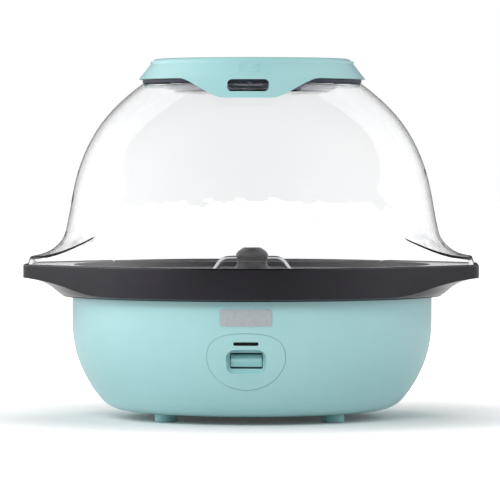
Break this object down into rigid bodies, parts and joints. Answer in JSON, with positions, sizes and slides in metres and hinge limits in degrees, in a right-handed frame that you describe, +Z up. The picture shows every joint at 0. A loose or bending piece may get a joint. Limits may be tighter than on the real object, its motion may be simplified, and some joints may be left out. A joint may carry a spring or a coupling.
{
  "type": "stirring popcorn maker",
  "caption": "Countertop stirring popcorn maker: round base with heated pan and stirring arm, black rim with ear handles, clear lift-off dome bowl and press-fit vent cover.",
  "frame": {"origin": "centre of the footprint, on the surface the feet stand on, on the stirring shaft's axis", "axes": "+Z up along the stirring shaft; -Y to the front, with the switch; +X to the right, through one ear handle"},
  "size_m": [0.33, 0.28, 0.262],
  "materials": {
    "aqua_shell": "smooth satin-gloss aqua plastic",
    "aqua_feet": "matte aqua",
    "black_rim": "fine-grained charcoal black",
    "clear_dome": "clear, polished",
    "smoky_tray": "clear, slightly smoked",
    "dark_seal": "soft dark grey",
    "black_rubber": "matte",
    "nonstick_pan": "dark non-stick coating",
    "element_steel": "heat-dulled",
    "plain_steel": "zinc-plated sheet",
    "ceramic_parts": "ivory",
    "bronze_bush": "sintered",
    "polished_steel": "polished",
    "black_knob": "smooth black",
    "motor_steel": "plated",
    "copper_coil": "enamelled winding",
    "magnet_dark": "ferrite",
    "white_gears": "natural acetal",
    "screw_steel": "plated",
    "switch_black": "moulded",
    "dark_lens": "smoke tinted",
    "lamp_glass": "clear neon bulb",
    "silver_badge": "silver-grey print",
    "ivory_block": "moulded"
  },
  "bodies": {
    "base": {"base_housing": "aqua_shell", "bottom_cover": "aqua_shell", "switch_bezel": "aqua_shell", "foot_front_left": "aqua_feet", "foot_front_right": "aqua_feet", "foot_rear_left": "aqua_feet", "foot_rear_right": "aqua_feet", "rim_collar": "black_rim", "shaft_seal": "dark_seal", "cord_grommet": "black_rubber", "heating_plate": "nonstick_pan", "heating_element": "element_steel", "element_clamp": "plain_steel", "heat_shield": "plain_steel", "shield_standoffs": "plain_steel", "thermostat": "ceramic_parts", "thermal_fuse": "ceramic_parts", "shaft_bush": "bronze_bush", "motor_can": "motor_steel", "motor_cover": "motor_steel", "gear_plate": "motor_steel", "motor_coil": "copper_coil", "gear_arbors": "polished_steel", "motor_bracket": "plain_steel", "motor_screws": "screw_steel", "bracket_screws": "screw_steel", "cover_screws": "screw_steel", "plate_screws": "screw_steel", "switch_body": "switch_black", "indicator_lens": "dark_lens", "indicator_lamp": "lamp_glass", "badge": "silver_badge", "terminal_block": "ivory_block"},
    "dome": {"dome_bowl": "clear_dome", "vent_tray": "smoky_tray"},
    "cover": {"vent_cover": "aqua_shell", "vent_seal": "dark_seal"},
    "rocker": {"switch_rocker": "aqua_shell"},
    "drive": {"drive_shaft": "polished_steel", "shaft_coupling": "polished_steel", "output_gear": "polished_steel"},
    "stirrer": {"stirrer_hub": "black_knob", "stirring_rod": "polished_steel"},
    "gear_2": {"reduction_gear_2": "white_gears"},
    "gear_1": {"reduction_gear_1": "white_gears"},
    "rotor": {"motor_rotor": "magnet_dark"}
  },
  "joints": [
    {"name": "dome_lift", "type": "slide", "parent": "base", "child": "dome", "axis": [0, 0, 1], "range_m": [0, 0.16]},
    {"name": "cover_lift", "type": "slide", "parent": "dome", "child": "cover", "axis": [0, 0, 1], "range_m": [0, 0.06]},
    {"name": "rocker_tilt", "type": "hinge", "parent": "base", "child": "rocker", "pos_m": [0, -0.1142, 0.0472], "axis": [-1, 0, 0], "range_deg": [0, 14]},
    {"name": "stirrer_spin", "type": "hinge", "parent": "base", "child": "drive", "pos_m": [0, 0, 0.09], "axis": [0, 0, 1], "continuous": true},
    {"name": "stirrer_lift", "type": "slide", "parent": "drive", "child": "stirrer", "axis": [0, 0, 1], "range_m": [0, 0.05]},
    {"name": "gear_2_spin", "type": "hinge", "parent": "base", "child": "gear_2", "pos_m": [0.011, 0, 0.057], "axis": [0, 0, 1], "continuous": true},
    {"name": "gear_1_spin", "type": "hinge", "parent": "base", "child": "gear_1", "pos_m": [0.01, 0.00995, 0.055], "axis": [0, 0, 1], "continuous": true},
    {"name": "rotor_spin", "type": "hinge", "parent": "base", "child": "rotor", "pos_m": [0, 0.01, 0.048], "axis": [0, 0, 1], "continuous": true}
  ],
  "couplings": [
    {"joint": "gear_2_spin", "follows": "stirrer_spin", "ratio": -4.5},
    {"joint": "gear_1_spin", "follows": "stirrer_spin", "ratio": 18},
    {"joint": "rotor_spin", "follows": "stirrer_spin", "ratio": -72}
  ]
}
